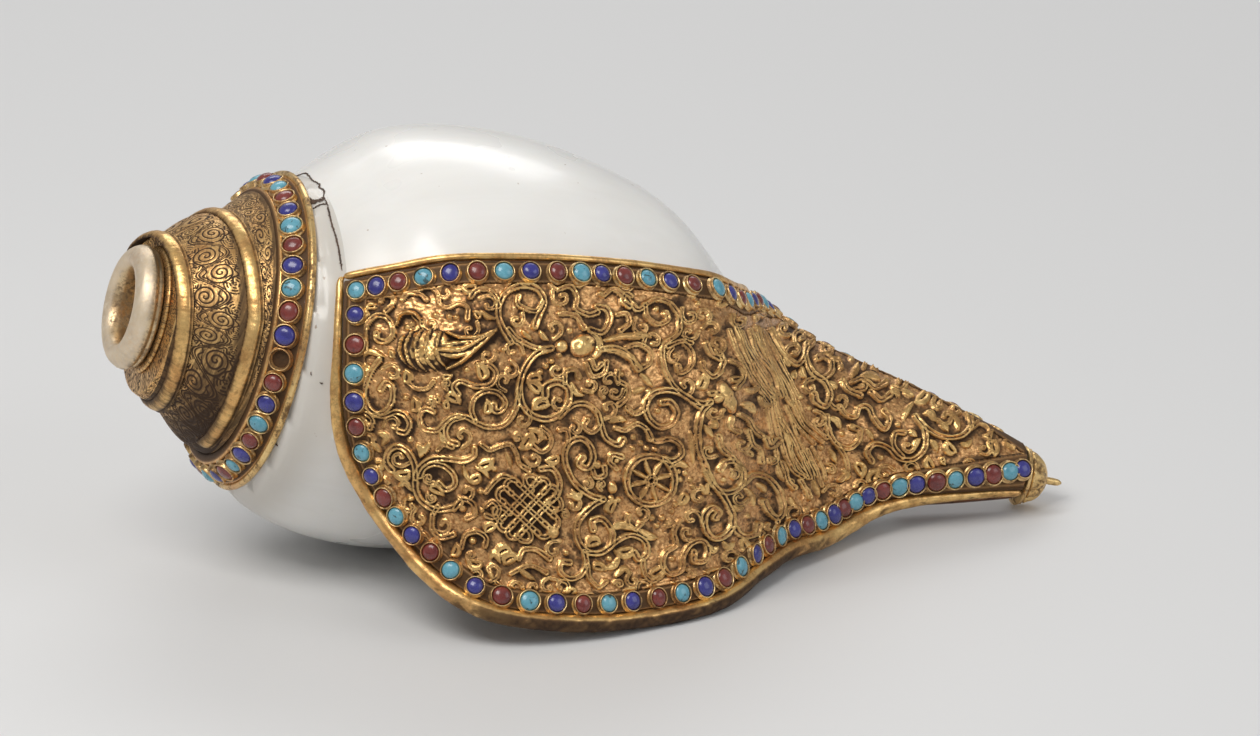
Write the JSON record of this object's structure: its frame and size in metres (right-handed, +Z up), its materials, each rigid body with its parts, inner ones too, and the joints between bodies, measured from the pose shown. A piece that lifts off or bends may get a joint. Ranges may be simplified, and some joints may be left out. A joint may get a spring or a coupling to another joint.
{
  "type": "conch shell trumpet",
  "caption": "Ritual conch trumpet: polished spiral shell on its side, gilt mouthpiece cap with a ring of stones, wide relief apron over the lip and a ribbed finial at the tip.",
  "frame": {"origin": "middle of the bounding box's bottom face, on the table", "axes": "+X from the mouthpiece towards the finial, along the table under the shell's axis; -Y towards the apron; +Z up"},
  "size_m": [0.2432, 0.1356, 0.1076],
  "materials": {
    "shell": "polished, faintly streaked white",
    "worn_gilt": "gilding rubbed down to pale metal",
    "gilt_copper": "fire-gilt copper, worn, dark in the recesses",
    "copper": "bare copper, darkened",
    "lac_cement": "hard dark lac, matt",
    "turquoise": "polished, blue-green with dark specks",
    "red_stone": "polished, opaque dark red",
    "blue_stone": "polished, deep blue"
  },
  "bodies": {
    "root": {"shell": "shell", "mouthpiece_lip": "worn_gilt", "mouthpiece_flange": "gilt_copper", "blow_tube": "copper", "cap_sheet": "gilt_copper", "cap_cement": "lac_cement", "cap_spiral_moulding": "gilt_copper", "cap_jewel_band": "gilt_copper", "cap_edge_rim": "gilt_copper", "cap_stone_01": "turquoise", "cap_stone_02": "red_stone", "cap_stone_03": "blue_stone", "cap_stone_04": "turquoise", "cap_stone_05": "red_stone", "cap_stone_06": "blue_stone", "cap_stone_07": "turquoise", "cap_stone_08": "red_stone", "cap_stone_09": "blue_stone", "cap_stone_10": "turquoise", "cap_stone_11": "red_stone", "cap_stone_12": "blue_stone", "cap_stone_13": "turquoise", "cap_stone_14": "red_stone", "cap_stone_15": "blue_stone", "cap_stone_17": "red_stone", "cap_stone_18": "blue_stone", "cap_stone_19": "turquoise", "cap_stone_20": "red_stone", "cap_stone_21": "blue_stone", "cap_stone_22": "turquoise", "cap_stone_23": "red_stone", "cap_stone_24": "blue_stone", "cap_stone_25": "turquoise", "cap_stone_26": "red_stone", "cap_stone_27": "blue_stone", "cap_stone_28": "turquoise", "cap_stone_29": "red_stone", "cap_stone_30": "blue_stone", "cap_stone_31": "turquoise", "cap_stone_32": "red_stone", "cap_stone_33": "blue_stone", "cap_stone_34": "turquoise", "cap_stone_35": "red_stone", "cap_stone_36": "blue_stone", "cap_stone_37": "turquoise", "cap_stone_38": "red_stone", "cap_stone_39": "blue_stone", "apron_plate": "gilt_copper", "apron_lining": "copper", "apron_rim_roll": "gilt_copper", "apron_top_fillet": "gilt_copper", "apron_jewel_border": "gilt_copper", "beak_sleeve": "copper", "finial_collar": "gilt_copper", "finial_knob": "gilt_copper", "finial_pin": "gilt_copper"}
  },
  "joints": []
}
